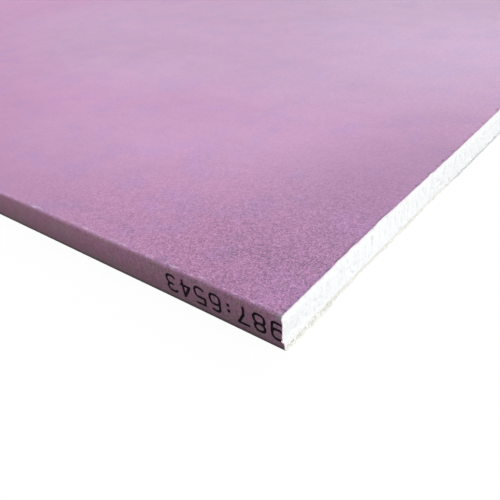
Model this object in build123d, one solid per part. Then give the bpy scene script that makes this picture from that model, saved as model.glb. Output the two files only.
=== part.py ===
from build123d import *
import os

# A fire-rated plasterboard sheet, lying face up on its back, in millimetres.
# X runs along the length, Y across the width and Z up through the thickness.
# The origin is the middle of the back, in the plane that the sheet rests on.

# The sheet
SHEET_LENGTH = 2400.0
SHEET_WIDTH = 1200.0
SHEET_THICKNESS = 12.5

# The two liners
FACE_PAPER_THICKNESS = 0.35
BACK_PAPER_THICKNESS = 0.35

# The wrapped long edges: the core's own rounding under each crease of the face paper,
# the flap that the face paper turns in under the board, and the strip of flap left bare
CORE_FACE_ARRIS_RADIUS = 0.9
CORE_BACK_ARRIS_RADIUS = 0.7
FLAP_WIDTH = 26.0
BACK_PAPER_SETBACK = 3.0


def wrapped_section(inset):
    """Cross-section of all that lies above the back paper, drawn in by inset on every side."""
    width = SHEET_WIDTH - 2 * inset
    height = SHEET_THICKNESS - BACK_PAPER_THICKNESS - 2 * inset
    lowest = BACK_PAPER_THICKNESS + inset
    growth = FACE_PAPER_THICKNESS - inset
    section = Pos(0, lowest + height / 2) * Rectangle(width, height)
    back_corners = section.vertices().sort_by(Axis.Y)[:2]
    section = fillet(back_corners, CORE_BACK_ARRIS_RADIUS + growth)
    face_corners = section.vertices().sort_by(Axis.Y)[-2:]
    return fillet(face_corners, CORE_FACE_ARRIS_RADIUS + growth)


def between_flaps():
    """Cross-section of the shallow bed of gypsum that fills the gap between the two flaps."""
    width = SHEET_WIDTH - 2 * FLAP_WIDTH
    middle = BACK_PAPER_THICKNESS + FACE_PAPER_THICKNESS / 2
    return Pos(0, middle) * Rectangle(width, FACE_PAPER_THICKNESS)


def full_length(section):
    """The section run along the whole length, half of it to each side of the origin."""
    return extrude(Plane.YZ * section, SHEET_LENGTH / 2, both=True)


def gypsum_core():
    """The cast core: rounded along both long edges and rebated below for the flaps."""
    return full_length(wrapped_section(FACE_PAPER_THICKNESS) + between_flaps())


def face_paper():
    """One liner over the face, down both long edges and in under the board as two flaps."""
    wrap = wrapped_section(0) - wrapped_section(FACE_PAPER_THICKNESS)
    return full_length(wrap - between_flaps())


def back_paper():
    """The liner of the back, laid over both flaps and stopping short of the long edges."""
    width = SHEET_WIDTH - 2 * BACK_PAPER_SETBACK
    return full_length(Pos(0, BACK_PAPER_THICKNESS / 2) * Rectangle(width, BACK_PAPER_THICKNESS))


os.makedirs("parts", exist_ok=True)
export_step(gypsum_core(), "parts/gypsum_core.step")
export_step(face_paper(), "parts/face_paper.step")
export_step(back_paper(), "parts/back_paper.step")
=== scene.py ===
import math
import random

import bpy
from mathutils import Matrix, Vector, noise
from mathutils.bvhtree import BVHTree


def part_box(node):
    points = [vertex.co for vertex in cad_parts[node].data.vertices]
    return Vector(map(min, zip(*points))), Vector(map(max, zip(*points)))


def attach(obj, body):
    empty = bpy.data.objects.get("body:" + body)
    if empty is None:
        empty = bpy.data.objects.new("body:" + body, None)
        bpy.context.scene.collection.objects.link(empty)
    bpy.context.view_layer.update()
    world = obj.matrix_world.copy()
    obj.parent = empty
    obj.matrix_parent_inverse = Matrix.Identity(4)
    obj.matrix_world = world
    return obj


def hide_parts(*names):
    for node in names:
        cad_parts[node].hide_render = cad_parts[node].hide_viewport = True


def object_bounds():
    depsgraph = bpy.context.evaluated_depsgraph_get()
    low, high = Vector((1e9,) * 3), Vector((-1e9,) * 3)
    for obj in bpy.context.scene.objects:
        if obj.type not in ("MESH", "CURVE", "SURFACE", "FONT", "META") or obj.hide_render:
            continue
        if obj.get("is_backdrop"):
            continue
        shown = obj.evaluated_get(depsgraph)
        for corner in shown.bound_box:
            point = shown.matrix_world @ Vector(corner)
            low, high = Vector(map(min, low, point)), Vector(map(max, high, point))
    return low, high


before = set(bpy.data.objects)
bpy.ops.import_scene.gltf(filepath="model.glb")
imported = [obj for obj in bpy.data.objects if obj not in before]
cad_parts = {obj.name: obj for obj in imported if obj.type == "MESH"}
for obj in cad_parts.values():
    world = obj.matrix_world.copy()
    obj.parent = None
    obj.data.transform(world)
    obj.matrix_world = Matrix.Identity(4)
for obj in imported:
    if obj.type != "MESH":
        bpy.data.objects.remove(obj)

# Every size and place below is in millimetres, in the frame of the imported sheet:
# X along its length, Y across its width, Z up, with the origin under its middle.
MM = 0.001
CAD_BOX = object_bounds()


def box_in_mm(node):
    """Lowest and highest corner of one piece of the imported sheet."""
    return [[value / MM for value in corner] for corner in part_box(node)]


FACE_LOW, FACE_HIGH = box_in_mm("face_paper")
CORE_HIGH = box_in_mm("gypsum_core")[1]
BACK_LOW, BACK_HIGH = box_in_mm("back_paper")
LENGTH = FACE_HIGH[0] - FACE_LOW[0]
WIDTH = FACE_HIGH[1] - FACE_LOW[1]
THICKNESS = FACE_HIGH[2]
FACE_PAPER = FACE_HIGH[2] - CORE_HIGH[2]
BACK_PAPER = BACK_HIGH[2]

# The folds of the face liner, outside, and the flap that it turns in under the sheet
FACE_FOLD = 1.25
BACK_FOLD = 1.05
FLAP_WIDTH = 26.0

# All relief is cut inwards from the sheet's true size by at least this much, and hidden faces keep apart
SKIN = 0.03
APART = 0.01

random.seed(20)


# The face liner, unrolled: a run is the distance along the paper from the sheet's centreline,
# over the face, down a long edge and in under the sheet to the edge of the flap.
FLAT_RUN = WIDTH / 2 - FACE_FOLD
FACE_FOLD_RUN = FACE_FOLD * math.pi / 2
SIDE_RUN = THICKNESS - BACK_PAPER - FACE_FOLD - BACK_FOLD
BACK_FOLD_RUN = BACK_FOLD * math.pi / 2
FLAP_RUN = FLAP_WIDTH - BACK_FOLD
SIDE_START = FLAT_RUN + FACE_FOLD_RUN
SIDE_END = SIDE_START + SIDE_RUN
FLAP_START = SIDE_END + BACK_FOLD_RUN
LINER_RUN = FLAP_START + FLAP_RUN


def wrap(run):
    """Section of the liner's outside at that run: y and z, and the outward direction there."""
    hand = math.copysign(1.0, run)
    run = abs(run)
    if run <= FLAT_RUN:
        return hand * run, THICKNESS, 0.0, 1.0
    if run <= SIDE_START:
        turn = (run - FLAT_RUN) / FACE_FOLD
        out, up = math.sin(turn), math.cos(turn)
        return hand * (FLAT_RUN + FACE_FOLD * out), THICKNESS - FACE_FOLD * (1 - up), hand * out, up
    if run <= SIDE_END:
        return hand * WIDTH / 2, THICKNESS - FACE_FOLD - (run - SIDE_START), hand, 0.0
    if run <= FLAP_START:
        turn = (run - SIDE_END) / BACK_FOLD
        out, down = math.cos(turn), math.sin(turn)
        middle = WIDTH / 2 - BACK_FOLD
        return hand * (middle + BACK_FOLD * out), BACK_PAPER + BACK_FOLD * (1 - down), hand * out, -down
    return hand * (WIDTH / 2 - BACK_FOLD - (run - FLAP_START)), BACK_PAPER, 0.0, -1.0


# How the cut end departs from a true plane


def smooth(value, low, high):
    """0 below low, 1 above high and a smooth rise between them."""
    share = min(1.0, max(0.0, (value - low) / (high - low)))
    return share * share * (3 - 2 * share)


def hump(value, middle, reach):
    """1 at the middle, falling smoothly to 0 at that reach on both sides."""
    share = min(1.0, abs(value - middle) / reach)
    return (1 - share * share) ** 2


def wander(value, step, seed):
    """Smooth noise of about plus or minus one along a line, turning about once in each step."""
    return noise.noise(Vector((value / step, seed, seed * 0.37))) * 1.6


# Small tears and dents in the cut line of the face, as distance from the near corner, depth and reach
NICKS = (
    (13.7, 0.12, 0.9),
    (26.3, 0.20, 2.8),
    (33.1, 0.20, 2.4),
    (47.4, 0.12, 1.4),
    (50.0, 0.22, 5.0),
    (80.1, 0.24, 1.7),
    (89.8, 0.16, 1.6),
    (97.8, 0.16, 1.5),
    (106.0, 0.08, 1.2),
)
FACE_SAG = 0.56
FACE_SAG_MIDDLE = 46.0
FACE_SAG_REACH = 57.0
FACE_SLACK = 0.08


def face_line(across):
    """Depth of the face liner's cut edge behind the true end, across mm from the near corner."""
    sag = FACE_SAG * hump(across, FACE_SAG_MIDDLE, FACE_SAG_REACH)
    drift = 0.16 * (1 + wander(across, 130, 3)) * smooth(across, 160, 320)
    nicks = sum(depth * hump(across, place, reach) for place, depth, reach in NICKS)
    fray = 0.05 * wander(across, 1.9, 5) + 0.03 * wander(across, 0.7, 6)
    return FACE_SLACK + sag + drift + nicks + fray


# Over the flap two layers of paper resist the cut, so they stand out farther than the back liner alone
FLAP_SLACK = 0.42
BACK_SLACK = 1.22
FLAP_END = 24.0
FLAP_BLEND = 9.0


def back_line(across):
    """Depth of the back liner's cut edge behind the true end."""
    ragged = 0.20 * wander(across, 7, 11) + 0.14 * wander(across, 2.1, 12) + 0.07 * wander(across, 0.8, 13)
    ragged *= 1 - 0.6 * smooth(across, 90, 110)
    alone = smooth(across, FLAP_END - FLAP_BLEND / 2, FLAP_END + FLAP_BLEND / 2)
    proud = 0.30 * smooth(across, 100, 105)
    return max(0.0, FLAP_SLACK + (BACK_SLACK - FLAP_SLACK - proud) * alone + ragged * (0.6 + 0.4 * alone))


# The side paper at the near corner, by depth below the face: flush, then drawn in, then a lip
CORNER_FLUSH = 2.9
CORNER_DRAWN = 8.0
CORNER_DRAW = 0.78
CORNER_NOTCH_DEPTH = 8.65
CORNER_NOTCH = 0.38
CORNER_LIP = 8.96
CORNER_LIP_SLACK = 0.34
CORNER_REACH = 15.0


def drawn_in(depth):
    """Depth of the core behind the true end at the near corner, at that depth below the face."""
    drawn = CORNER_DRAW * min(1.0, max(0.0, (depth - CORNER_FLUSH) / (CORNER_DRAWN - CORNER_FLUSH)))
    return 0.07 + drawn + 0.02 * wander(depth, 0.6, 22)


def corner_line(depth):
    """Depth of the side paper's cut edge behind the true end, at that depth below the face."""
    above_lip = drawn_in(depth) + CORNER_NOTCH * hump(depth, CORNER_NOTCH_DEPTH, 0.55)
    lip = CORNER_LIP_SLACK + 0.1 * wander(depth, 1.1, 21)
    share = smooth(depth, CORNER_LIP - 0.12, CORNER_LIP + 0.12)
    return above_lip * (1 - share) + lip * share


def other_end_line(across):
    """Depth of the cut edge at the far end of the sheet, which was sawn the same way."""
    return 0.35 + 0.22 * wander(across, 90, 31) + 0.06 * wander(across, 2.3, 32)


END_LEAN = 1.25


def end_depth(near, y, z, corner_shape=corner_line):
    """Depth of the cut end behind its true plane at one spot, before the core's own roughness."""
    across = y + WIDTH / 2
    depth = THICKNESS - z
    if not near:
        return other_end_line(across)
    leaning = min(1.0, max(0.0, (depth - CORNER_FLUSH) / (THICKNESS - 1.0 - CORNER_FLUSH)))
    plain = face_line(across) * (1 - leaning) + END_LEAN * leaning
    corner = hump(across, 0.0, CORNER_REACH) * smooth(depth, 0.6, 2.2)
    return plain * (1 - corner) + corner_shape(depth) * corner


def flap_line(across, depth):
    """Depth of the flap's cut edge, which stands out of the core with the back liner under it."""
    lip = back_line(across) + 0.05
    corner = 1 - smooth(across, 1.0, 4.0)
    return lip * (1 - corner) + corner_line(depth) * corner


# Meshes


def trailing_zeros(number):
    """How often a whole number can be halved."""
    return (number & -number).bit_length() - 1 if number else 99


TOP_RANK = 7


def rungs(start, end, step, least_rank=0):
    """Even stations from start up to end, each with the rank that says how coarse a grid keeps it."""
    count = max(1, round((end - start) / step))
    for number in range(count):
        rank = TOP_RANK if number == 0 else min(TOP_RANK, max(least_rank, trailing_zeros(number)))
        yield start + (end - start) * number / count, rank


def stations(stretches):
    """Joins stretches, each given by its end, its step and its least rank, into one row of stations."""
    row = []
    start = stretches[0]
    for end, step, least_rank in stretches[1:]:
        row.extend(rungs(start, end, step, least_rank))
        start = end
    row.append((start, TOP_RANK))
    return row


# Columns that follow a cut end, by distance from it, and the rank of the stations each one keeps
END_COLUMNS = ((0.0, 0), (0.4, 0), (0.9, 1), (1.9, 2), (3.8, 3), (7.5, 4), (15.0, 5), (30.0, 6))
END_REACH = END_COLUMNS[-1][0]


def all_columns(stretches):
    """Every column from the near end to the far one: the end it belongs to, its distance and rank."""
    middle = []
    start = END_REACH
    for end, step in stretches:
        count = max(1, round((end - start) / step))
        middle.extend((True, start + (end - start) * n / count, TOP_RANK) for n in range(1, count + 1))
        start = end
    near = [(True, distance, rank) for distance, rank in END_COLUMNS]
    return near + middle[:-1] + [(False, distance, rank) for distance, rank in reversed(END_COLUMNS)]


# Four thin bands at the top of a liner's flat map, for its two cut ends and the edges of its two long sides
RIM_BANDS = [(bottom, bottom + 0.004) for bottom in (0.972, 0.979, 0.986, 0.993)]


def placed(name, data):
    """A new object in the scene."""
    thing = bpy.data.objects.new(name, data)
    bpy.context.scene.collection.objects.link(thing)
    return thing


def oblong(left, bottom, right, top):
    """Corners of a rectangle on the flat map."""
    return [(left, bottom), (right, bottom), (right, top), (left, top)]


class Net:
    """Vertices and faces of one piece while it is being built."""

    def __init__(self):
        self.points = []
        self.faces = []
        self.slots = []
        self.spots = []
        self.drawn = []
        self.doubles = {}

    def point(self, place, spot=(0.0, 0.0)):
        self.points.append(place)
        self.spots.append(spot)
        return len(self.points) - 1

    def face(self, corners, slot=0, flip=False, spots=None):
        """One face, placed on the flat map by its vertices unless other spots are given."""
        kept = [n for n, c in enumerate(corners) if c != corners[n - 1]]
        if len(kept) > 2:
            kept = kept[::-1] if flip else kept
            self.faces.append([corners[n] for n in kept])
            self.drawn.extend(spots[n] if spots else self.spots[corners[n]] for n in kept)
            self.slots.append(slot)

    def sheet(self, lines, flip=False, slot=0):
        """Skin between lines of vertices, each by station number. The stations that only one of two
        neighbouring lines keeps become extra corners."""
        for before, after in zip(lines, lines[1:]):
            shared = sorted(before.keys() & after.keys())
            for low, high in zip(shared, shared[1:]):
                up = [before[n] for n in range(low, high + 1) if n in before]
                down = [after[n] for n in range(high, low - 1, -1) if n in after]
                self.face(up + down, slot, flip)

    def join(self, kept, doubled):
        """Marks a vertex that is another one's double, kept apart on the flat map only."""
        self.doubles[doubled] = kept

    def shell(self, row, columns, pair, flip=False, slot=0):
        """A thin closed shell. For one column and station, pair gives the place on either skin with its
        spot on the flat map. The second skin and the rims get the slot, the first skin has slot 0."""
        skins = [], []
        for near, distance, rank in all_columns(columns):
            lines = {}, {}
            for number, (station, station_rank) in enumerate(row):
                if station_rank >= rank:
                    for line, (place, spot) in zip(lines, pair(near, distance, station)):
                        line[number] = self.point(place, spot)
            for skin, line in zip(skins, lines):
                skin.append(line)
        self.sheet(skins[0], flip)
        self.sheet(skins[1], not flip, slot)
        edges = [[skin[end] for skin in skins] for end in (0, -1)]
        for number in (0, len(row) - 1):
            edges.append([{n: line[number] for n, line in enumerate(skin)} for skin in skins])
        for (first, second), turned, (bottom, top) in zip(edges, (True, False, False, True), RIM_BANDS):
            keys = sorted(first.keys() & second.keys())
            for low, high in zip(keys, keys[1:]):
                start, end = ((n - keys[0]) / (keys[-1] - keys[0]) for n in (low, high))
                corners = [first[low], first[high], second[high], second[low]]
                self.face(corners, slot, turned != flip, oblong(start, bottom, end, top))

    def object(self, name, materials, smooth_angle):
        """The finished piece, in metres, riding on the sheet."""
        mesh = bpy.data.meshes.new(name)
        faces = [[self.doubles.get(corner, corner) for corner in face] for face in self.faces]
        used = {corner: number for number, corner in enumerate(sorted({c for face in faces for c in face}))}
        mesh.from_pydata([[value * MM for value in self.points[corner]] for corner in used], [],
                         [[used[corner] for corner in face] for face in faces])
        for material in materials:
            mesh.materials.append(material)
        mesh.polygons.foreach_set("material_index", self.slots)
        layer = mesh.uv_layers.new(name="OFBake")
        layer.uv.foreach_set("vector", [value for spot in self.drawn for value in spot])
        mesh.validate()
        mesh.update()
        mesh.shade_smooth()
        mesh.set_sharp_from_angle(angle=math.radians(smooth_angle))
        piece = placed(name, mesh)
        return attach(piece, "root")


def column_place(near, distance, depth):
    """X of a vertex that far from one end, on a column that follows the cut line near the end."""
    follow = max(0.0, 1 - distance / END_REACH)
    inset = distance + depth * follow
    return LENGTH / 2 - inset if near else -LENGTH / 2 + inset


def at_cut(distance):
    """1 on the column at the cut line and 0 on all others."""
    return 1 - smooth(distance, 0.0, 0.3)


def edge_press(x, run):
    """How far the wrapped long edge is pressed in by handling, fading out towards the cut ends."""
    on_side = smooth(abs(run), FLAT_RUN - 4, SIDE_START) * (1 - smooth(abs(run), SIDE_END, FLAP_START + 3))
    fade = smooth(LENGTH / 2 - abs(x), 2.0, 25.0)
    hand = 41 if run > 0 else 47
    dents = 0.5 + 0.5 * noise.noise(Vector((x / 37.0, run / 11.0, hand)))
    ripple = 0.5 + 0.5 * noise.noise(Vector((x / 9.0, run / 6.0, hand + 2)))
    return on_side * fade * (0.07 * dents + 0.03 * ripple)


# Steps round a fold, and the width beside the near corner that has the finest stations
FOLD_STEPS = 8
FINE_LINER = 200
FINE_CORE = 175


def face_stations():
    """Stations across the whole unrolled face liner, finest beside the near corner."""
    back_step, face_step = (run / FOLD_STEPS for run in (BACK_FOLD_RUN, FACE_FOLD_RUN))
    near = [-LINER_RUN, (-FLAP_START, 1.6, 0), (-SIDE_END, back_step, TOP_RANK), (-SIDE_START, 0.33, 0),
            (-FLAT_RUN, face_step, TOP_RANK), (-FLAT_RUN + FINE_LINER, 0.4, 0)]
    far = [(FLAT_RUN, 0.8, 0), (SIDE_START, face_step, TOP_RANK), (SIDE_END, 0.8, 0),
           (FLAP_START, back_step, TOP_RANK), (LINER_RUN, 3.2, 0)]
    return stations(near + far)


LINER_COLUMNS = ((180, 6), (420, 12), (1000, 29), (LENGTH - END_REACH, 60))

def liner_spot(x, run):
    """Place on the liner's flat map, which draws the near end and the near long edge larger."""
    lengthways = ((LENGTH / 2 - x) / LENGTH) ** 0.62
    across = (run + FLAP_START) / (LINER_RUN + FLAP_START)
    if across < 0:
        return lengthways, 0.02 * (run + LINER_RUN) / FLAP_RUN
    return lengthways, 0.02 + 0.88 * across ** 0.62


def face_liner_pair(near, distance, run):
    """Places on the outside and the inside of the face liner, each with its spot on the flat map."""
    y, z, out_y, out_z = wrap(run)
    depth = end_depth(near, y, z)
    if near and -run > SIDE_END:
        share = smooth(-run, SIDE_END, FLAP_START + 0.6)
        depth += (flap_line(y + WIDTH / 2, THICKNESS - z) - depth) * share
    x = column_place(near, distance, depth)
    fray = 0.06 * at_cut(distance) * (1 + wander(run, 0.9, 55))
    press = SKIN + edge_press(x, run)
    deep = press + FACE_PAPER - APART
    inner_spot = 0.5 + x / LENGTH, 0.91 + 0.05 * (0.5 + run / LINER_RUN / 2)
    return (((x, y - out_y * press, z - out_z * press), liner_spot(x, run)),
            ((x - math.copysign(fray, x), y - out_y * deep, z - out_z * deep), inner_spot))


def face_liner(materials):
    """The mauve liner: one thin closed shell over the face, round both long edges and under them."""
    net = Net()
    net.shell(face_stations(), LINER_COLUMNS, face_liner_pair, slot=1)
    piece = net.object("face_liner", materials, 40)
    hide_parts("face_paper")
    return BVHTree.FromPolygons(net.points, net.faces)


# The plain digits printed along the near long edge. Each stroke is a path in a cell that is
# DIGIT_WIDE by DIGIT_HIGH, with its origin at the lower left.

DIGIT_WIDE = 3.55
DIGIT_HIGH = 5.75
STROKE = 0.88
INK_GRID = 0.11
INK_LIFT = 0.012
INK_THICK = 0.009
PRINT_BOTTOM = 8.55
ROUND = 1.30


def bend(x, y, radius, first, last):
    """Points along an arc about x, y, from one angle to another in degrees."""
    count = max(3, int(abs(last - first) / 12))
    angles = [math.radians(first + (last - first) * n / count) for n in range(count + 1)]
    return [(x + radius * math.cos(a), y + radius * math.sin(a)) for a in angles]


def digit_strokes(figure):
    """Paths of one plain digit."""
    wide, high, r = DIGIT_WIDE, DIGIT_HIGH, ROUND
    waist = high * 0.54
    if figure == "3":
        upper = [(0.1, high - 0.5)] + bend(r, high - r, r, 140, 90)
        upper += bend(wide - r, high - r, r, 90, 0) + bend(wide - r, waist + r * 0.92, r, 0, -90)
        lower = [(wide * 0.4, waist)] + bend(wide - r, waist - r, r, 90, 0)
        lower += bend(wide - r, r, r, 0, -90) + bend(r, r, r, -90, -145)
        return [upper + [(wide * 0.4, waist)], lower]
    if figure == "4":
        return [[(wide * 0.78, 0.0), (wide * 0.78, high), (0.0, high * 0.30), (wide, high * 0.30)]]
    if figure == "5":
        bowl = bend(wide - r, waist + 0.25 - r, r, 90, 0) + bend(wide - r, r, r, 0, -90)
        return [[(wide * 0.94, high), (0.15, high), (0.0, waist + 0.25)] + bowl + bend(r, r, r, -90, -145)]
    if figure == "6":
        stem = [(wide * 0.88, high - 0.25)] + bend(r + 0.25, high - r, r, 80, 180) + [(0.0, r)]
        crown = waist - r + 0.3
        bowl = bend(r, r, r, 180, 270) + bend(wide - r, r, r, -90, 0)
        return [stem + bowl + bend(wide - r, crown, r, 0, 90) + bend(r, crown, r, 90, 180)]
    if figure == "7":
        return [[(0.0, high), (wide, high), (wide * 0.42, high * 0.45), (wide * 0.34, 0.0)]]
    if figure == "8":
        tight = r * 0.92
        upper = bend(r, waist + tight, tight, 270, 180) + bend(r, high - r, tight, 180, 90)
        upper += bend(wide - r, high - r, tight, 90, 0) + bend(wide - r, waist + tight, tight, 0, -90)
        lower = bend(r, waist - r, r, 90, 180) + bend(r, r, r, 180, 270) + bend(wide - r, r, r, -90, 0)
        return [upper + [upper[0]], lower + bend(wide - r, waist - r, r, 0, 90) + [lower[0]]]
    if figure == "9":
        return [[(wide - x, high - y) for x, y in digit_strokes("6")[0]]]
    dot = 0.28
    left, right = wide * 0.3 - dot, wide * 0.3
    return [[(left, y), (right, y), (right, y + dot), (left, y + dot), (left, y)]
            for y in (high * 0.24, high * 0.60)]


# Each figure and where its lower left corner stands, as distance from the near end
PRINT_ROW = tuple(zip("987:6543", (0.25, 6.05, 11.75, 17.6, 21.6, 27.5, 33.1, 38.9)))


def from_segment(x, y, start, end):
    """Distance of a point from a straight piece of a path."""
    along = (end[0] - start[0], end[1] - start[1])
    length = along[0] ** 2 + along[1] ** 2
    share = 0.0
    if length > 0:
        share = min(1.0, max(0.0, ((x - start[0]) * along[0] + (y - start[1]) * along[1]) / length))
    return math.hypot(x - start[0] - along[0] * share, y - start[1] - along[1] * share)


def ink_distance(x, y, paths, bleed):
    """Distance of a point from the rim of the ink: below zero inside it."""
    nearest = min(from_segment(x, y, a, b) for path in paths for a, b in zip(path, path[1:]))
    spread = STROKE / 2 + 0.05 * wander(x, 0.5, bleed + y / 0.6) + 0.03 * wander(y, 1.7, bleed + 7)
    return nearest - spread


def ink_patches(paths, bleed):
    """Outline-true patches of ink for one digit: its points, and its faces by point number."""
    across, upwards = (range(int(-STROKE / INK_GRID), int((size + STROKE) / INK_GRID) + 1)
                       for size in (DIGIT_WIDE, DIGIT_HIGH))
    grid = {(i, j): ink_distance(i * INK_GRID, j * INK_GRID, paths, bleed) for i in across for j in upwards}
    points, numbers, faces = [], {}, []

    def number_of(a, b, share=0.0):
        """Number of the point that lies that share of the way from one place of the grid to another."""
        if (a, b) not in numbers:
            numbers[a, b] = len(points)
            points.append(tuple((a[n] + (b[n] - a[n]) * share) * INK_GRID for n in (0, 1)))
        return numbers[a, b]

    for i in across[:-1]:
        for j in upwards[:-1]:
            square = [(i, j), (i + 1, j), (i + 1, j + 1), (i, j + 1)]
            rim = []
            for a, b in zip(square, square[1:] + square[:1]):
                if grid[a] < 0:
                    rim.append(number_of(a, a))
                if (grid[a] < 0) != (grid[b] < 0):
                    low, high = sorted((a, b))
                    share = grid[low] / (grid[low] - grid[high])
                    rim.append(number_of(low, high, min(0.9, max(0.1, share))))
            if len(rim) > 2:
                faces.append(rim)
    return points, faces


def edge_print(liner, material):
    """Plain digits stamped upside down along the near long edge: thin ink laid on the liner."""
    net = Net()
    for place, (figure, start) in enumerate(PRINT_ROW):
        points, faces = ink_patches(digit_strokes(figure), 90 + 13 * place)
        top, bottom = {}, {}
        for number, (x, y) in enumerate(points):
            at_x = LENGTH / 2 - start - x
            at_z = THICKNESS - PRINT_BOTTOM + DIGIT_HIGH - y
            spot = liner.ray_cast(Vector((at_x, -WIDTH / 2 - 5, at_z)), Vector((0, 1, 0)), 20)[0]
            if spot is None:
                continue
            u, v = 0.12 * place + 0.11 * (x + 1) / (DIGIT_WIDE + 2), (y + 1) / (DIGIT_HIGH + 2)
            top[number] = net.point((at_x, spot.y - INK_LIFT, at_z), (u, 0.5 * v))
            bottom[number] = net.point((at_x, spot.y - INK_LIFT + INK_THICK, at_z), (u, 0.5 + 0.45 * v))
        kept = [face for face in faces if all(n in top for n in face)]
        rims = {}
        for face in kept:
            net.face([top[n] for n in face], flip=True)
            net.face([bottom[n] for n in face])
            for a, b in zip(face, face[1:] + face[:1]):
                rims[a, b] = rims.get((b, a), 0) + 1
        loose = [(a, b) for a, b in rims if (b, a) not in rims]
        for count, (a, b) in enumerate(loose):
            start, end = (0.12 * place + 0.11 * n / len(loose) for n in (count, count + 1))
            net.face([top[a], top[b], bottom[b], bottom[a]], spots=oblong(start, 0.96, end, 0.99))
    return net.object("edge_print", [material], 40)


# The back liner

BACK_HALF = (BACK_HIGH[1] - BACK_LOW[1]) / 2
BACK_COLUMNS = ((420, 40), (LENGTH - END_REACH, 90))


def back_side_wander(x, hand):
    """How far the back liner's long edge strays inwards from a straight line."""
    return 0.12 + 0.1 * wander(x, 60, 61 + hand) + 0.05 * wander(x, 9, 63 + hand)


def back_liner_pair(near, distance, y):
    """Places on the underside and the upper side of the back liner, each with its spot on the flat map."""
    across = y + WIDTH / 2
    depth = back_line(across) if near else other_end_line(across) * 0.6
    x = column_place(near, distance, depth)
    hand = math.copysign(1, y)
    stray = back_side_wander(x, hand) * smooth(abs(y), BACK_HALF - 6, BACK_HALF)
    over = x - math.copysign(at_cut(distance) * 0.12 * (1 + wander(y, 1.1, 67)), x)
    curl = APART + at_cut(distance) * 0.05 * max(0.0, 1 + wander(y, 3.0, 68))
    u, v = 0.5 + x / LENGTH, 0.5 + y / BACK_HALF / 2
    return (((x, y - hand * stray, curl), (u, 0.90 * v)),
            ((over, y - hand * stray, BACK_PAPER - APART), (u, 0.91 + 0.05 * v)))


def back_liner(materials):
    """The grey-beige liner of the back: a thin closed sheet with ragged cut ends."""
    row = stations([-BACK_HALF, (-BACK_HALF + FINE_LINER, 0.4, 0), (BACK_HALF, 0.8, 0)])
    net = Net()
    net.shell(row, BACK_COLUMNS, back_liner_pair, flip=True)
    piece = net.object("back_liner", materials, 40)
    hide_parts("back_paper")
    return piece


# Loose matter along the cuts

FIBRES_PER_ROW = 38
FIBRE_STEPS = 5
FIBRES_ALONG_FACE = 1300
FIBRES_AT_CORNER = 90
CRUMBS_PER_ROW = 25
CRUMBS_ON_LEDGE = 300
CRUMBS_ON_CUT = 140
INSIDE = 0.004
BEHIND_CUT = 0.06


def cell_of(number, per_row):
    """Lower left corner and usable width of that cell of a flat map."""
    return (number % per_row) / per_row, (number // per_row) / per_row, 0.9 / per_row


def fibre(net, number, start, way, length, thickness, chance):
    """One curling paper fibre: a thin three-sided tube that tapers to a point."""
    left, bottom, wide = cell_of(number, FIBRES_PER_ROW)
    steps = FIBRE_STEPS
    side = way.orthogonal().normalized()
    rings = []
    place = Vector(start)
    turn = chance.uniform(-0.9, 0.9), chance.uniform(-0.9, 0.9)
    for step in range(steps + 1):
        girth = thickness * (1 - step / (steps + 0.6))
        over = way.cross(side).normalized()
        ring = []
        for corner in range(3):
            angle = 2 * math.pi * corner / 3
            spot = place + side * girth * math.cos(angle) + over * girth * math.sin(angle)
            ring.append(net.point(inside_sheet(spot)))
        rings.append(ring)
        way = (way + side * turn[0] * 0.35 + over * turn[1] * 0.35).normalized()
        side = (side - way * side.dot(way)).normalized()
        place = place + way * length / steps
    for step, (before, after) in enumerate(zip(rings, rings[1:])):
        low, high = (bottom + wide * s / steps for s in (step, step + 1))
        for n in range(3):
            spots = oblong(left + wide * (n + 1) / 4, low, left + wide * n / 4, high)
            net.face([before[n], before[n - 1], after[n - 1], after[n]], spots=spots)
    for ring, low in ((rings[0], 0.0), (rings[-1][::-1], 0.5)):
        triangle = ((0.8, 0.0), (1.0, 0.0), (0.9, 0.4))
        net.face(ring, spots=[(left + wide * share, bottom + wide * (low + up)) for share, up in triangle])


def inside_sheet(spot):
    """The spot, moved inside the sheet's true size where it lies outside."""
    bounds = ((-LENGTH / 2, LENGTH / 2), (-WIDTH / 2, WIDTH / 2), (0.0, THICKNESS))
    return tuple(min(high - INSIDE, max(low + INSIDE, value)) for value, (low, high) in zip(spot, bounds))


def paper_fuzz(material):
    """Fibres that stand out of the cut edges of the face liner."""
    chance = random.Random(7)
    net = Net()
    for number in range(FIBRES_ALONG_FACE):
        near = chance.random() < 0.8
        across = 175 * chance.random() ** 1.2 if near else chance.uniform(0, WIDTH)
        at_front = near or chance.random() < 0.5
        y = across - WIDTH / 2
        z = THICKNESS - chance.uniform(0.06, FACE_PAPER)
        depth = end_depth(at_front, y, THICKNESS)
        hand = 1 if at_front else -1
        x = (LENGTH / 2 - depth - BEHIND_CUT) * hand
        way = Vector((hand, chance.uniform(-1.2, 1.2), chance.uniform(-0.9, 0.3))).normalized()
        length, thickness = chance.uniform(0.25, 0.95), chance.uniform(0.012, 0.03)
        fibre(net, number, (x, y, z), way, length, thickness, chance)
    for number in range(FIBRES_ALONG_FACE, FIBRES_ALONG_FACE + FIBRES_AT_CORNER):
        z = chance.uniform(0.6, THICKNESS - 0.8)
        depth = end_depth(True, -WIDTH / 2, z)
        way = Vector((1, chance.uniform(-0.2, 0.6), chance.uniform(-1, 1))).normalized()
        start = (LENGTH / 2 - depth - BEHIND_CUT, -WIDTH / 2 + chance.uniform(0.08, 0.3), z)
        length, thickness = chance.uniform(0.2, 0.6), chance.uniform(0.012, 0.028)
        fibre(net, number, start, way, length, thickness, chance)
    return net.object("paper_fuzz", [material], 60)


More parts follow.
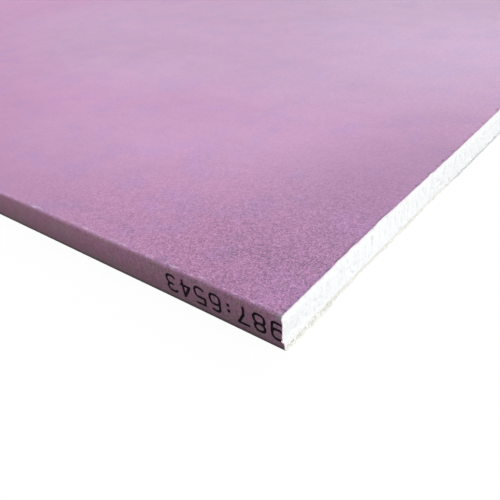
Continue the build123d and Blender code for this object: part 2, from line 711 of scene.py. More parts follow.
def crumb(net, number, centre, size, chance):
    """One angular crumb: a rough eight-cornered lump."""
    left, bottom, wide = cell_of(number, CRUMBS_PER_ROW)
    corners = []
    for up in (-1, 1):
        for right, back in ((-1, -1), (1, -1), (1, 1), (-1, 1)):
            pull = [chance.uniform(0.35, 0.62) * size for _ in range(3)]
            spot = (centre[0] + right * pull[0], centre[1] + back * pull[1], centre[2] + up * pull[2] * 0.7)
            corners.append(net.point(inside_sheet(spot)))
    sides = ((3, 2, 1, 0), (4, 5, 6, 7), (0, 1, 5, 4), (1, 2, 6, 5), (2, 3, 7, 6), (3, 0, 4, 7))
    for place, side in enumerate(sides):
        quad = [corners[n] for n in side]
        u, v = left + wide * (place % 3) / 3, bottom + wide * (place // 3) / 2
        spots = oblong(u, v, u + wide * 0.3, v + wide * 0.45)
        net.face(quad[:3], spots=spots[:3])
        net.face([quad[0], quad[2], quad[3]], spots=[spots[0], spots[2], spots[3]])


def gypsum_crumbs(material):
    """Crumbs that cling to the near cut end, on the ledge over the back liner and on the core itself."""
    chance = random.Random(11)
    net = Net()
    for number in range(CRUMBS_ON_LEDGE):
        across = chance.uniform(2, 100) if chance.random() < 0.6 else chance.uniform(2, WIDTH - 4)
        size = 0.10 + 0.34 * chance.random() ** 3
        y = across - WIDTH / 2
        slack = max(back_line(across), 0.1)
        x = LENGTH / 2 - slack - chance.uniform(0.1, 0.7) - size / 2
        floor = BACK_PAPER + (FACE_PAPER if across < FLAP_WIDTH else 0.0)
        crumb(net, number, (x, y, floor + size * 0.30), size, chance)
    for number in range(CRUMBS_ON_LEDGE, CRUMBS_ON_LEDGE + CRUMBS_ON_CUT):
        across = chance.uniform(1, WIDTH - 1)
        size = 0.10 + 0.2 * chance.random() ** 2
        y = across - WIDTH / 2
        z = chance.uniform(1.5, THICKNESS - 0.6)
        crumb(net, number, (LENGTH / 2 - end_depth(True, y, z) - 0.1 - size * 0.1, y, z), size, chance)
    return net.object("gypsum_crumbs", [material], 30)


# The gypsum core

CORE_HALF = WIDTH / 2 - FACE_PAPER
CORE_FACE_ROUND = FACE_FOLD - FACE_PAPER
CORE_BACK_ROUND = BACK_FOLD - FACE_PAPER
CORE_TOP = THICKNESS - FACE_PAPER
CORE_ROWS = 20
BED_HALF = WIDTH / 2 - FLAP_WIDTH
BED_SLOPE = 0.4
PORES_AT_END = 2600
PORE_CELL = 2
CORE_ROUGHNESS = 0.022
SAW_WAVES = 0.08
LEAST_DEPTH = 0.02


def core_span(y):
    """Lowest and highest z of the core's section at y: rounded arrises, and the rebates for the flaps."""
    side = CORE_HALF - abs(y)
    low, high = BACK_PAPER + FACE_PAPER, CORE_TOP
    if side < CORE_FACE_ROUND:
        reach = CORE_FACE_ROUND - side
        high -= CORE_FACE_ROUND - math.sqrt(max(0.0, CORE_FACE_ROUND ** 2 - reach ** 2))
    if side < CORE_BACK_ROUND:
        reach = CORE_BACK_ROUND - side
        low += CORE_BACK_ROUND - math.sqrt(max(0.0, CORE_BACK_ROUND ** 2 - reach ** 2))
    filled = smooth(BED_HALF - abs(y), -BED_SLOPE / 2, BED_SLOPE / 2)
    return low - FACE_PAPER * filled, high


def core_stations():
    """Stations across the core's end, crowded into both rounded arrises and finest near the corner."""
    rounded = max(CORE_FACE_ROUND, CORE_BACK_ROUND)
    turns = [math.pi / 2 * n / 6 for n in range(7)]
    left = [-CORE_HALF + rounded * (1 - math.cos(turn)) for turn in turns]
    middle = stations([left[-1], (-CORE_HALF + FINE_CORE, 0.42, 0), (-left[-1], 0.75, 0)])
    row = [(place, TOP_RANK) for place in left[:-1]] + middle
    return row + [(-place, TOP_RANK) for place in reversed(left[:-1])]


class Pores:
    """Round pits left in the cut gypsum by its air bubbles, found again by place."""

    def __init__(self, seed):
        chance = random.Random(seed)
        self.cells = {}
        for _ in range(PORES_AT_END):
            y = chance.uniform(-WIDTH / 2, WIDTH / 2)
            z = chance.uniform(BACK_PAPER, CORE_TOP)
            radius = 0.25 + 0.55 * chance.random() ** 3
            self.cells.setdefault(int(y // PORE_CELL), []).append((y, z, radius))

    def depth(self, y, z):
        """Depth of the deepest pit at that spot."""
        deepest = 0.0
        cell = int(y // PORE_CELL)
        for near in (cell - 1, cell, cell + 1):
            for pit_y, pit_z, radius in self.cells.get(near, ()):
                away = math.hypot(y - pit_y, z - pit_z) / radius
                if away < 1:
                    deepest = max(deepest, 0.55 * radius * (1 - away * away))
        return deepest


def cut_gypsum(near, pores, y, z):
    """Depth of the cut core behind the true end at one spot: cut line, roughness, pores and crumbled rims."""
    hand = 71 if near else 77
    place = Vector((y / 1.7, z / 1.7, hand))
    rough = CORE_ROUGHNESS * noise.fractal(place, 0.8, 2.1, 4)
    waves = SAW_WAVES * noise.noise(Vector((y / 14.0, z / 6.0, hand + 3)))
    low, high = core_span(y)
    crumbled = 0.5 + 0.5 * wander(y, 3.1, hand + 5) + 0.3 * wander(y, 0.9, hand + 6)
    ledge = (0.10 + 0.30 * max(0.0, crumbled)) * (1 - smooth(z - low, 0.15, 0.95))
    chipped = 0.12 * max(0.0, wander(y, 2.3, hand + 7)) * (1 - smooth(high - z, 0.0, 0.5))
    sawn = end_depth(near, y, z, drawn_in)
    return max(LEAST_DEPTH, sawn + 0.05 + rough + waves + ledge + chipped + pores.depth(y, z))


CORE_COLUMNS = ((LENGTH - END_REACH, 150),)


def core_ring(row):
    """Every place round the core's section, with its rank: along the underside, up the far side, back
    along the top and down the near side."""
    low, high = core_span(CORE_HALF)
    steps = [((high - low) * step / CORE_ROWS, 2 if step % 2 else TOP_RANK) for step in range(1, CORE_ROWS)]
    under = [(y, core_span(y)[0], rank) for y, rank in row]
    over = [(y, core_span(y)[1], rank) for y, rank in reversed(row)]
    far_side = [(CORE_HALF, low + way, rank) for way, rank in steps]
    near_side = [(-CORE_HALF, high - way, rank) for way, rank in steps]
    return under + far_side + over + near_side


def gypsum_core(materials):
    """The core: rounded and rebated along its length, with rough, pitted cut ends."""
    row = core_stations()
    around = core_ring(row)
    whole = len(around)
    pores = {True: Pores(81), False: Pores(82)}
    net = Net()
    rings = []
    for near, distance, rank in all_columns(CORE_COLUMNS):
        ring = {}
        slack = 0.12 * smooth(distance, 0.0, 2.0)
        for number, (y, z, station_rank) in enumerate(around):
            if station_rank >= rank:
                inner_y = y - math.copysign(slack, y) if abs(y) == CORE_HALF else y
                depth = cut_gypsum(near, pores[near], y, z) if distance == 0 else end_depth(near, y, z) + 0.2
                x = column_place(near, distance, depth)
                ring[number] = net.point((x, inner_y, z), (0.5 + x / LENGTH, 0.86 + 0.14 * number / whole))
        x, y, z = net.points[ring[0]]
        ring[whole] = net.point((x, y, z), (0.5 + x / LENGTH, 1.0))
        rings.append(ring)
    net.sheet(rings)
    for ring in rings:
        net.join(ring[0], ring[whole])
    for near, ring in ((True, rings[0]), (False, rings[-1])):
        cut_end(net, near, ring, row, pores[near])
    piece = net.object("cut_gypsum", materials, 55)
    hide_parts("gypsum_core")
    return piece


def cut_end(net, near, ring, row, pores):
    """Fills one cut end with a grid that meets the ring round it. On the flat map it is cut into
    stretches, one above the other."""
    last = len(row) - 1
    columns = []
    for number, (y, _) in enumerate(row):
        column = {0: ring[number], CORE_ROWS: ring[last + CORE_ROWS + (last - number)]}
        low, high = core_span(y)
        for step in range(1, CORE_ROWS):
            if number == last:
                column[step] = ring[last + step]
            elif number == 0:
                column[step] = ring[2 * last + 2 * CORE_ROWS - step]
            else:
                z = low + (high - low) * step / CORE_ROWS
                x = column_place(near, 0.0, cut_gypsum(near, pores, y, z))
                column[step] = net.point((x, y, z))
        columns.append(column)
    stretches, bottom = (8, 0.0) if near else (2, 0.66)
    tall = 0.08
    length = math.ceil(last / stretches)
    for number, (before, after) in enumerate(zip(columns, columns[1:])):
        start, base = number % length / length, bottom + (number // length) * tall
        end = start + 1 / length
        for step in range(CORE_ROWS):
            low_v, high_v = (base + 0.95 * tall * n / CORE_ROWS for n in (step, step + 1))
            spots = [(start, low_v), (start, high_v), (end, high_v), (end, low_v)]
            corners = [before[step], before[step + 1], after[step + 1], after[step]]
            net.face(corners, flip=near, spots=spots)


# Materials


class Nodes:
    """The nodes of one material or node group. Sizes and marks in their making are in millimetres."""

    def __init__(self, tree, place=None):
        self.tree = tree
        self.place = place

    def wire(self, node, inputs):
        """Feeds a node's inputs with values or from sockets."""
        for name, value in inputs.items():
            if isinstance(value, bpy.types.NodeSocket):
                self.tree.links.new(value, node.inputs[name])
            else:
                node.inputs[name].default_value = value
        return node

    def put(self, kind, inputs, **settings):
        node = self.tree.nodes.new(kind)
        for name, value in settings.items():
            setattr(node, name, value)
        return self.wire(node, inputs)

    def math(self, operation, *values):
        return self.put("ShaderNodeMath", dict(enumerate(values)), operation=operation).outputs[0]

    def times(self, first, *others):
        for other in others:
            first = self.math("MULTIPLY", first, other)
        return first

    def blend(self, share, first, second, how="MIX"):
        inputs = {0: share, 6: first, 7: second}
        return self.put("ShaderNodeMix", inputs, data_type="RGBA", blend_type=how).outputs[2]

    def rise(self, value, none, full):
        """A smooth rise from 0 to 1 as the value goes from none to full, up or down."""
        inputs = {"Value": value, "From Min": none, "From Max": full}
        return self.put("ShaderNodeMapRange", inputs, interpolation_type="SMOOTHSTEP").outputs[0]

    def near(self, distance, none, full):
        """The same smooth rise for a distance."""
        return self.rise(distance, none * MM, full * MM)

    def slope(self, distance, none, full):
        """The same as a straight slope."""
        inputs = {"Value": distance, "From Min": none * MM, "From Max": full * MM}
        return self.put("ShaderNodeMapRange", inputs).outputs[0]

    def spread(self, mask, bottom, top):
        """A value that goes from bottom to top with a mask."""
        return self.put("ShaderNodeMapRange", {"Value": mask, "To Min": bottom, "To Max": top}).outputs[0]

    def grain(self, size, detail=2.0, roughness=0.5, stretch=(1, 1, 1)):
        """Noise with features of about that size: its value, about 0.5 on average."""
        scale = [1 / (size * MM * factor) for factor in stretch]
        moved = self.put("ShaderNodeMapping", {"Vector": self.place, "Scale": scale}).outputs[0]
        inputs = {"Vector": moved, "Scale": 1.0, "Detail": detail, "Roughness": roughness}
        return self.put("ShaderNodeTexNoise", inputs).outputs["Fac"]

    def spots(self, none, full, *noise_of):
        """Spots where such noise goes from none to full."""
        return self.rise(self.grain(*noise_of), none, full)

    def strayed(self, distance, noise_value, reach):
        """A distance made ragged by noise that adds up to that reach."""
        return self.math("MULTIPLY_ADD", noise_value, reach * MM, distance)

    def far(self, *ways):
        """Distance from where all the given ways are zero."""
        total = self.math("MULTIPLY", ways[0], ways[0])
        for way in ways[1:]:
            total = self.math("ADD", total, self.math("MULTIPLY", way, way))
        return self.math("SQRT", total)

    def axes(self):
        return self.put("ShaderNodeSeparateXYZ", {"Vector": self.place}).outputs

    def from_rims(self):
        """Distances from the nearer cut end and from the nearer long edge, and the height."""
        x, y, height = self.axes()
        from_end = self.math("SUBTRACT", LENGTH / 2 * MM, self.math("ABSOLUTE", x))
        return from_end, self.math("SUBTRACT", WIDTH / 2 * MM, self.math("ABSOLUTE", y)), height

    def use(self, group, amounts=None):
        """Puts in a node group with its own amounts: its outputs."""
        node = self.put("ShaderNodeGroup", {}, node_tree=group)
        return self.wire(node, {"Place": self.place, **(amounts or {})}).outputs

    def shaded(self, colour, *tones):
        """A colour made lighter or darker by the sum of the tones, which are about zero on average."""
        total = 1.0
        for tone in tones:
            total = self.math("ADD", tone, total)
        grey = self.put("ShaderNodeCombineColor", {0: total, 1: total, 2: total}).outputs[0]
        return self.blend(1.0, colour, grey, "MULTIPLY")

    def sight(self):
        """Masks of what the camera sees straight, and of what it sees straight or in gloss or glass."""
        rays = self.tree.nodes.new("ShaderNodeLightPath").outputs
        mirrored = self.math("MAXIMUM", rays["Is Glossy Ray"], rays["Is Transmission Ray"])
        return rays["Is Camera Ray"], self.math("MAXIMUM", rays["Is Camera Ray"], mirrored)

    def surface(self, shader, colour, height, depth, strength=1.0):
        """Gives a shader its colour and fine relief of about that depth."""
        inputs = {"Height": height, "Distance": depth * MM, "Strength": strength}
        self.wire(shader, {"Base Color": colour, "Normal": self.put("ShaderNodeBump", inputs).outputs[0]})


def node_group(name, amounts, make):
    """A shared node group. Its inputs are the place and the amounts, its outputs what make gives."""
    group = bpy.data.node_groups.new(name, "ShaderNodeTree")
    group.interface.new_socket(name="Place", in_out="INPUT", socket_type="NodeSocketVector")
    for amount in amounts:
        socket = group.interface.new_socket(name=amount, in_out="INPUT", socket_type="NodeSocketFloat")
        socket.default_value = 1.0
    given = group.nodes.new("NodeGroupInput").outputs
    made = make(Nodes(group, given["Place"]), given)
    for value in made:
        group.interface.new_socket(name=value, in_out="OUTPUT", socket_type="NodeSocketFloat")
    out = group.nodes.new("NodeGroupOutput")
    for value, socket in made.items():
        group.links.new(socket, out.inputs[value])
    return group


def felted_fibres(n, given):
    """Felted paper fibres: fine mottle, pale fibres and dark flecks, with the height that they give."""
    both = n.math("MULTIPLY_ADD", n.grain(0.45, 1.0), 0.65, n.times(n.grain(1.3), 0.35))
    along, across = (n.grain(0.38, 1.0, 0.5, stretch) for stretch in ((3.2, 0.8, 0.8), (0.8, 3.0, 0.8)))
    hairs = n.rise(n.math("MAXIMUM", along, across), 0.58, 0.74)
    return {"Tone": n.times(n.math("SUBTRACT", both, 0.5), given["Mottle"]),
            "Pale": n.times(hairs, given["Pale Fibres"]),
            "Dark": n.times(n.spots(0.27, 0.18, 0.55, 0.0), given["Dark Flecks"]),
            "Height": n.math("MULTIPLY_ADD", hairs, 0.5, both)}


def slow_clouds(n, given):
    """Slow clouds of tone, drawn out along the sheet as the paper machine leaves them."""
    patchy = n.times(n.grain(9.0, 3.0, 0.5, (1.8, 1.0, 1.0)), 0.4)
    both = n.math("MULTIPLY_ADD", n.grain(60.0, 3.0, 0.55, (2.2, 1.0, 1.0)), 0.6, patchy)
    return {"Tone": n.times(n.math("SUBTRACT", both, 0.5), given["Amount"])}


def handling(n, _):
    """Where the sheet is handled and worn: its sides, folds, arrises, cut lines and corners, with masks for
    painted shade under the bottom fold and low on the sides, painted highlights on the arris and a darkening
    near the rims that is partly painted shade.
    """
    from_end, inwards, height = n.from_rims()
    across_y = n.axes()[1]
    below = n.math("SUBTRACT", THICKNESS * MM, height)
    from_arris = n.far(inwards, below)
    from_corner = n.far(inwards, below, from_end)
    ragged = n.grain(2.4, 4.0, 0.65)
    worn = n.grain(1.6, 3.0, 0.6, (2.0, 1.0, 1.0))
    crest = n.times(n.near(inwards, 2.1, 1.4), n.near(inwards, 0.45, 0.9), n.near(below, 1.0, 0.4))
    by_corner = n.math("MULTIPLY_ADD", n.near(inwards, 135, 105), 0.65, 0.35)
    cut = n.times(n.near(n.strayed(from_end, ragged, 3.6), 3.4, 2.0), by_corner)
    torn = n.times(n.spots(0.55, 0.66, 1.6, 3.0, 0.6), n.near(from_end, 2.0, 1.1))
    frayed = n.spots(0.36, 0.52, 0.9, 2.0, 0.6)
    for across, depth, reach in NICKS:
        beside = n.math("ABSOLUTE", n.math("SUBTRACT", across_y, (across - WIDTH / 2) * MM))
        within = n.near(beside, 0.5 + 0.6 * reach, 0.15 * reach)
        by_nick = n.near(from_end, 1.3 + 2.0 * depth, 0.5 + 2.0 * depth)
        torn = n.math("MAXIMUM", torn, n.times(within, by_nick, frayed))
    afar = n.strayed(n.far(inwards, n.times(from_end, 2.5)), n.grain(30.0, 3.0, 0.6), 40.0)
    broken = n.spots(0.50, 0.66, 1.3, 3.0, 0.7, (2.8, 1.0, 1.0))
    rubbed = n.spots(0.56, 0.70, 2.2, 3.0, 0.6, (1.6, 1.0, 1.0))
    return {"Side": n.near(inwards, 0.75 * FACE_FOLD, 0.12 * FACE_FOLD),
            # Darker towards the bottom of the side: soiling and painted shade
            "Low": n.slope(below, 1.8, 11.5),
            # Painted shade under the bottom fold
            "Fold": n.near(height, 2.7, 1.3),
            # Rubbed wear and a painted highlight along the arris
            "Arris": n.near(n.strayed(from_arris, worn, 1.6), 2.5, 1.1),
            # Painted glints along the crest of the arris
            "Sparkle": n.times(crest, broken),
            "Scuff": n.times(rubbed, n.near(from_arris, 7.0, 1.0)),
            "Cut": cut,
            "Cool": n.times(n.near(from_end, 36, 8), n.near(inwards, 104, 60)),
            "Bruise": n.times(cut, n.near(inwards, 104, 40)),
            "Torn": torn,
            # Low near the rims, for a darkening there that is partly handling and partly painted shade
            "Inland": n.slope(afar, 66, 182),
            "Border": n.near(n.strayed(inwards, n.grain(18.0, 3.0, 0.6), 26.0), 48, 16),
            "Corner": n.near(n.strayed(from_corner, ragged, 2.4), 3.9, 2.0),
            "Nap": n.near(n.far(inwards, n.times(from_end, 0.55)), 88, 12)}


# Broad patches that the photograph shows: middle and half-widths of each, from the near corner. The sheen
# patches are painted sheen, a pale veil for the gloss that the face catches away from the corner; the pale
# ones are lighter patches; the far shade patch is painted shade, where the face darkens as the light falls
# off.
SHEEN_PATCH = ((-165.0, 205.0), (225.0, 100.0))
PALE = ((-145.0, 92.0), (105.0, 52.0))
# Painted shade far across the face, where the light falls off
FAR_SHADE = ((-20.0, 350.0), (300.0, 110.0))
# A lighter patch by the corner
PALE_BY_CORNER = ((-14.0, 6.0), (26.0, 9.0))
RUBBED = ((-6.0, 72.0), (32.0, 26.0))
FAINT_SHEEN_PATCH = ((-100.0, 58.0), (92.0, 44.0))


def wide_patches(n, _):
    """Broad, soft-edged patches on the face: painted sheen, lighter patches, and darker ones of painted shade
    and rubbing.
    """
    x, y, _ = n.axes()
    ragged = n.times(n.math("SUBTRACT", n.grain(55.0, 3.0, 0.55), 0.5), 0.6)

    def how_far(centre, reach):
        shares = []
        for part, corner, way, size in zip((x, y), (LENGTH / 2, -WIDTH / 2), centre, reach):
            away = n.math("SUBTRACT", part, (corner + way) * MM)
            shares.append(n.math("DIVIDE", away, size * MM))
        return n.math("ADD", n.far(*shares), ragged)

    # Where the face gets its painted sheen
    painted_sheen = how_far(*SHEEN_PATCH)
    elsewhere = n.times(n.spots(0.50, 0.68, 330.0, 4.0, 0.6), n.rise(painted_sheen, 1.6, 2.6))
    faint = n.times(n.rise(how_far(*FAINT_SHEEN_PATCH), 1.4, 0.5), 0.42)
    rubbed = n.times(n.rise(how_far(*RUBBED), 1.4, 0.5), 0.32)
    # Painted sheen; lighter patches; darker patches of painted shade and rubbing
    return {"Haze": n.math("MAXIMUM", n.math("MAXIMUM", n.rise(painted_sheen, 1.4, 0.6), elsewhere), faint),
            "Pale": n.math("MAXIMUM", n.rise(how_far(*PALE), 1.4, 0.4), n.rise(how_far(*PALE_BY_CORNER), 1.5, 0.5)),
            "Dull": n.math("ADD", n.rise(how_far(*FAR_SHADE), 1.4, 0.5), rubbed)}


def new_material(name, roughness, specular=0.5):
    """A new material: itself, its nodes and its surface shader."""
    material = bpy.data.materials.new(name)
    material.use_nodes = True
    tree = material.node_tree
    n = Nodes(tree, tree.nodes.new("ShaderNodeTexCoord").outputs["Object"])
    shader = tree.nodes["Principled BSDF"]
    return material, n, n.wire(shader, {"Roughness": roughness, "Specular IOR Level": specular})


MAUVE = (0.492, 0.240, 0.436, 1)
MAUVE_DEEP = (0.480, 0.213, 0.400, 1)
MAUVE_VIOLET = (0.405, 0.205, 0.430, 1)
MAUVE_BY_CUT = (0.490, 0.218, 0.458, 1)
MAUVE_SIDE = (0.455, 0.196, 0.330, 1)
SIDE_GREY = (0.410, 0.238, 0.285, 1)
MAUVE_COOL = (0.435, 0.228, 0.460, 1)
# Painted sheen: the pale veil laid over the face
SHEEN_PATCH_PALE = (0.50, 0.57, 0.64, 1)
MAUVE_PALE = (0.62, 0.44, 0.60, 1)
MAUVE_DARK = (0.16, 0.07, 0.16, 1)
# Rubbed wear and painted highlight along the arris
ARRIS_WEAR_AND_HIGHLIGHT = (0.42, 0.29, 0.50, 1)
# Painted glints on the crest of the arris
CREST_HIGHLIGHT = (0.74, 0.62, 0.84, 1)
CORNER_GREY = (0.42, 0.38, 0.44, 1)
CUT_RED = (0.32, 0.13, 0.27, 1)
CUT_BLUE = (0.26, 0.19, 0.37, 1)
TORN_DARK = (0.09, 0.050, 0.105, 1)
# Soiling and painted shade low on the sides
GRIME_AND_LOW_SHADE = (0.10, 0.070, 0.075, 1)
# Painted shade under the bottom fold
FOLD_SHADE = (0.026, 0.016, 0.022, 1)
# Darkening near the rims, partly painted shade
INLAND_TONE = 0.26
BORDER_TONE = 0.07
PALE_TONE = 0.09
# Darkening by painted shade and rubbing
FAR_SHADE_TONE = 0.15
FACE_ROUGHNESS = 0.55
SIDE_ROUGHNESS = 0.78


def mauve_material(groups):
    """The face liner's outside: mauve-dyed paper, browner and duller where it wraps the long edges, with
    painted shade, highlights and sheen laid into its colour.
    """
    material, n, shader = new_material("mauve_liner", FACE_ROUGHNESS)
    worn = n.use(groups["handling"])
    nap, side = worn["Nap"], worn["Side"]
    mottle, fibres = n.spread(nap, 0.62, 2.2), n.spread(nap, 0.06, 0.64)
    felt = n.use(groups["felt"], {"Mottle": mottle, "Pale Fibres": fibres, "Dark Flecks": 0.06})
    clouds = n.use(groups["clouds"], {"Amount": 0.32})
    patches = n.use(groups["patches"])
    cooler = n.times(n.spots(0.48, 0.64, 17.0, 4.0, 0.6), 0.55)
    dulled = n.times(n.spots(0.44, 0.62, 5.5, 3.0, 0.6), 0.7)
    # Painted sheen: a pale veil over the face away from the corner
    face = n.blend(n.times(patches["Haze"], 0.15), n.blend(cooler, MAUVE, MAUVE_COOL), SHEEN_PATCH_PALE)
    face = n.blend(nap, face, n.blend(cooler, MAUVE_DEEP, MAUVE_VIOLET))
    face = n.blend(n.times(worn["Cool"], 0.6), face, MAUVE_BY_CUT)
    base = n.blend(side, face, n.blend(dulled, MAUVE_SIDE, SIDE_GREY))
    # Darker near the rims: partly handling, partly painted shade where the face catches less sheen
    inland = n.times(n.math("SUBTRACT", worn["Inland"], 1.0), INLAND_TONE)
    border = n.times(worn["Border"], n.math("SUBTRACT", 1.0, side), -BORDER_TONE)
    # Lighter patches, and darker ones of painted shade and rubbing
    broad = n.math("MULTIPLY_ADD", patches["Pale"], PALE_TONE, n.times(patches["Dull"], -FAR_SHADE_TONE))
    colour = n.shaded(base, felt["Tone"], clouds["Tone"], inland, border, broad)
    colour = n.blend(felt["Pale"], colour, MAUVE_PALE)
    colour = n.blend(felt["Dark"], colour, MAUVE_DARK)
    uneven = n.times(n.math("SUBTRACT", n.grain(0.7, 2.0, 0.6, (1.0, 1.0, 7.0)), 0.5), 0.8)
    colour = n.blend(side, colour, n.shaded(colour, uneven))
    # Pale along the arris: rubbed wear and a painted highlight, with pale scuffs beside it
    worn_and_lit = n.math("MAXIMUM", n.times(worn["Arris"], 0.12), n.times(worn["Scuff"], 0.20))
    for share, shade in (
            # Darker towards the bottom of the side: soiling and painted shade
            (n.times(worn["Low"], side, 0.52), GRIME_AND_LOW_SHADE),
            # Painted shade under the bottom fold
            (n.times(worn["Fold"], 0.9), FOLD_SHADE),
            # Rubbed wear and a painted highlight along the arris
            (worn_and_lit, ARRIS_WEAR_AND_HIGHLIGHT),
            # Painted glints along the crest of the arris
            (n.times(worn["Sparkle"], 0.55), CREST_HIGHLIGHT),
            (n.times(worn["Cut"], 0.38), CUT_RED),
            (n.times(worn["Bruise"], 0.50), CUT_BLUE),
            (n.times(worn["Torn"], 0.74), TORN_DARK),
            (n.times(worn["Corner"], 0.6), CORNER_GREY)):
        colour = n.blend(share, colour, shade)
    n.surface(shader, colour, felt["Height"], 0.06, 0.8)
    n.wire(shader, {"Roughness": n.spread(side, FACE_ROUGHNESS, SIDE_ROUGHNESS)})
    return material


PULP_PINK = (0.80, 0.64, 0.72, 1)
PULP_CREAM = (0.67, 0.655, 0.600, 1)
PULP_DUST = (0.75, 0.75, 0.72, 1)
PULP_FLECK = (0.42, 0.37, 0.32, 1)


def pulp_material(groups):
    """The inner plies of the face liner, which show along its cut edges: pink above, dusty cream below."""
    material, n, shader = new_material("liner_pulp", 0.9, 0.3)
    felt = n.use(groups["felt"], {"Pale Fibres": 0.3, "Dark Flecks": 0.5})
    dusty = n.blend(n.spots(0.46, 0.58, 1.5, 3.0, 0.6), PULP_CREAM, PULP_DUST)
    base = n.blend(n.near(n.axes()[2], 3.5, 2.0), PULP_PINK, dusty)
    colour = n.blend(felt["Dark"], n.shaded(base, felt["Tone"]), PULP_FLECK)
    n.surface(shader, colour, felt["Height"], 0.08)
    return material


INK = (0.008, 0.004, 0.008, 1)
INK_WORN = (0.034, 0.020, 0.032, 1)


def ink_material(groups):
    """Thin black marking ink that lets a little of the paper's nap through."""
    material, n, shader = new_material("marking_ink", 0.85, 0.06)
    felt = n.use(groups["felt"], {"Pale Fibres": 0.5, "Dark Flecks": 0.0})
    worn = n.math("MAXIMUM", n.times(n.spots(0.50, 0.66, 0.5, 3.0, 0.6), 0.5), felt["Pale"])
    n.surface(shader, n.blend(worn, INK, INK_WORN), felt["Height"], 0.03)
    return material


BACK_BEIGE = (0.64, 0.63, 0.58, 1)
BACK_OLIVE = (0.53, 0.52, 0.44, 1)
BACK_DUSTY = (0.74, 0.735, 0.69, 1)
BACK_RIM = (0.53, 0.545, 0.54, 1)
BACK_SLATE = (0.30, 0.33, 0.36, 1)
BACK_PALE = (0.80, 0.79, 0.75, 1)


def back_material(groups):
    """The back liner: recycled paper, beige-grey with olive, slate and pale fibres."""
    material, n, shader = new_material("back_liner", 0.85, 0.35)
    felt = n.use(groups["felt"], {"Mottle": 1.6, "Pale Fibres": 0.5, "Dark Flecks": 0.7})
    clouds = n.use(groups["clouds"], {"Amount": 0.5})
    from_end, inwards, _ = n.from_rims()
    mixed = n.blend(n.times(n.spots(0.50, 0.66, 2.6), 0.75), BACK_BEIGE, BACK_OLIVE)
    toned = n.shaded(mixed, felt["Tone"], clouds["Tone"])
    flecked = n.blend(felt["Dark"], n.blend(felt["Pale"], toned, BACK_PALE), BACK_SLATE)
    dusty = n.near(n.strayed(from_end, n.grain(2.0, 3.0, 0.6), 2.0), 4.2, 2.6)
    rimmed = n.blend(n.near(inwards, 104, 88), BACK_RIM, BACK_DUSTY)
    n.surface(shader, n.blend(n.times(dusty, 0.92), flecked, rimmed), felt["Height"], 0.08)
    return material


GYPSUM_WHITE = (0.875, 0.89, 0.895, 1)
GYPSUM_GREY = (0.872, 0.889, 0.897, 1)
# Dust and painted shade at the foot of the cut end
GYPSUM_FOOT_DUST_AND_SHADE = (0.76, 0.75, 0.705, 1)
# Painted shade in the pin-holes
GYPSUM_PIT_SHADE = (0.55, 0.56, 0.57, 1)


def gypsum_material(groups):
    """Cut set gypsum: chalky white, faintly cool, with fine crystals and pin-holes, painted shade in the
    pin-holes and a band of dust and painted shade along the foot of the cut.
    """
    material, n, shader = new_material("gypsum", 0.95, 0.2)
    clouds = n.use(groups["clouds"], {"Amount": 0.6})
    _, inwards, height = n.from_rims()
    fine = n.grain(0.5, 3.0, 0.6)
    holes = n.spots(0.30, 0.20, 0.35, 0.0)
    patch = n.math("ADD", n.spots(0.45, 0.7, 4.0, 3.0), clouds["Tone"])
    toned = n.blend(patch, GYPSUM_WHITE, GYPSUM_GREY)
    # Beige and darker along the foot of the cut end: dust and painted shade
    foot_band = n.near(n.strayed(height, n.grain(3.2, 3.0, 0.6, (1.0, 2.4, 1.0)), -1.5), 1.3, 0.1)
    shown = n.spread(n.near(inwards, 115, 75), 0.12, 0.72)
    dusted_and_shaded = n.blend(n.times(foot_band, shown), toned, GYPSUM_FOOT_DUST_AND_SHADE)
    # Painted shade in the pin-holes
    pitted = n.blend(n.times(holes, 0.35), dusted_and_shaded, GYPSUM_PIT_SHADE)
    n.surface(shader, pitted, n.math("SUBTRACT", fine, holes), 0.10)
    return material


FLOOR_BOUNCE = (0.38, 0.375, 0.37, 1)
FLOOR_SEEN = (0.98, 0.98, 0.98, 1)
FLOOR_GLOW = 0.97


def floor_material():
    """The pale floor. Seen by the camera it is a white studio ground that keeps a faint shadow."""
    material, n, shader = new_material("studio_floor", 0.9, 0.0)
    looked_at, seen = n.sight()
    n.wire(shader, {"Base Color": n.blend(looked_at, FLOOR_BOUNCE, FLOOR_SEEN)})
    glow = n.put("ShaderNodeEmission", {"Color": (1, 1, 1, 1), "Strength": 1.0}).outputs[0]
    mix = n.put("ShaderNodeMixShader", {0: n.times(seen, FLOOR_GLOW), 1: shader.outputs[0], 2: glow})
    n.wire(n.tree.nodes["Material Output"], {"Surface": mix.outputs[0]})
    return material


# Studio, in metres

FLOOR_HALF = 40.0
AMBIENT = 0.40


def studio_floor():
    """A wide level floor in the plane that the sheet rests on."""
    mesh = bpy.data.meshes.new("studio_floor")
    corners = [(x * FLOOR_HALF, y * FLOOR_HALF, 0) for x, y in ((-1, -1), (1, -1), (1, 1), (-1, 1))]
    mesh.from_pydata(corners, [], [(0, 1, 2, 3)])
    mesh.materials.append(floor_material())
    floor = placed("studio_floor", mesh)
    floor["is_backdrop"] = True


def studio_world():
    """White to the eye and in gloss, and a softer even light on everything matt."""
    world = bpy.data.worlds.new("studio_world")
    bpy.context.scene.world = world
    world.use_nodes = True
    n = Nodes(world.node_tree)
    strength = n.spread(n.sight()[1], AMBIENT, 1.0)
    n.wire(n.tree.nodes["Background"], {"Color": (1, 1, 1, 1), "Strength": strength})


def soft_sun(name, azimuth, elevation, level, spread, colour):
    """A far, wide lamp in that azimuth, from +X towards +Y. Its level is the share of full light that
    it gives a surface square to it."""
    lamp = bpy.data.lights.new(name, "SUN")
    lamp.energy = level * math.pi
    lamp.angle = math.radians(spread)
    lamp.color = colour
    turn, up = math.radians(azimuth), math.radians(elevation)
    towards = Vector((math.cos(turn) * math.cos(up), math.sin(turn) * math.cos(up), math.sin(up)))
    holder = placed(name, lamp)
    holder.rotation_mode = "QUATERNION"
    holder.rotation_quaternion = towards.to_track_quat("Z", "Y")


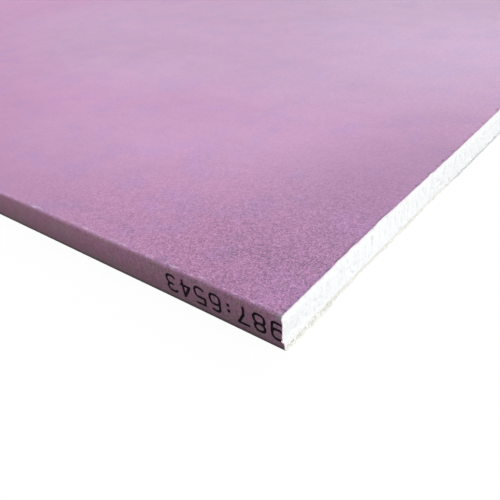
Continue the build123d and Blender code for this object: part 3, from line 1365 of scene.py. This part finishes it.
# The camera: its place from the near corner of the face in millimetres, its aim in degrees and its lens
CAMERA_FROM_CORNER = (71.9, -77.3, 92.4)
CAMERA_HEADING = 45.478
CAMERA_PITCH = 34.164
CAMERA_ROLL = -9.627
CAMERA_LENS = 41.571
CAMERA_SENSOR = 36.0


def studio_camera():
    """The camera of the photograph: close above the near corner, looking back over the sheet."""
    heading, pitch, roll = (math.radians(a) for a in (CAMERA_HEADING, CAMERA_PITCH, CAMERA_ROLL))
    level = math.cos(pitch)
    ahead = Vector((-math.sin(heading) * level, math.cos(heading) * level, -math.sin(pitch)))
    level_right = ahead.cross(Vector((0, 0, 1))).normalized()
    level_up = level_right.cross(ahead)
    right = level_right * math.cos(roll) + level_up * math.sin(roll)
    up = level_up * math.cos(roll) - level_right * math.sin(roll)
    corner = Vector((LENGTH / 2, -WIDTH / 2, THICKNESS))
    data = bpy.data.cameras.new("camera")
    data.lens = CAMERA_LENS
    data.sensor_width = CAMERA_SENSOR
    data.clip_start = 0.005
    data.clip_end = 200
    camera = placed("camera", data)
    turn = Matrix((right, up, -ahead)).transposed().to_4x4()
    camera.matrix_world = Matrix.Translation((corner + Vector(CAMERA_FROM_CORNER)) * MM) @ turn
    bpy.context.scene.camera = camera


def build():
    """Makes every piece, the floor, the lights and the camera."""
    groups = {
        "felt": node_group("felted_fibres", ("Mottle", "Pale Fibres", "Dark Flecks"), felted_fibres),
        "clouds": node_group("slow_clouds", ("Amount",), slow_clouds),
        "handling": node_group("handling", (), handling),
        "patches": node_group("wide_patches", (), wide_patches),
    }
    pulp = pulp_material(groups)
    liner = face_liner([mauve_material(groups), pulp])
    edge_print(liner, ink_material(groups))
    paper_fuzz(pulp)
    gypsum = gypsum_material(groups)
    gypsum_core([gypsum])
    gypsum_crumbs(gypsum)
    back_liner([back_material(groups)])
    studio_floor()
    studio_world()
    soft_sun("key", 15, 33, 0.90, 30, (1.0, 1.0, 1.0))
    soft_sun("sheen", 96, 22, 0.36, 58, (0.84, 0.93, 1.0))
    studio_camera()
    bpy.context.scene.view_settings.view_transform = "Standard"


build()
[[list(corner) for corner in box] for box in (CAD_BOX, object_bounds())]
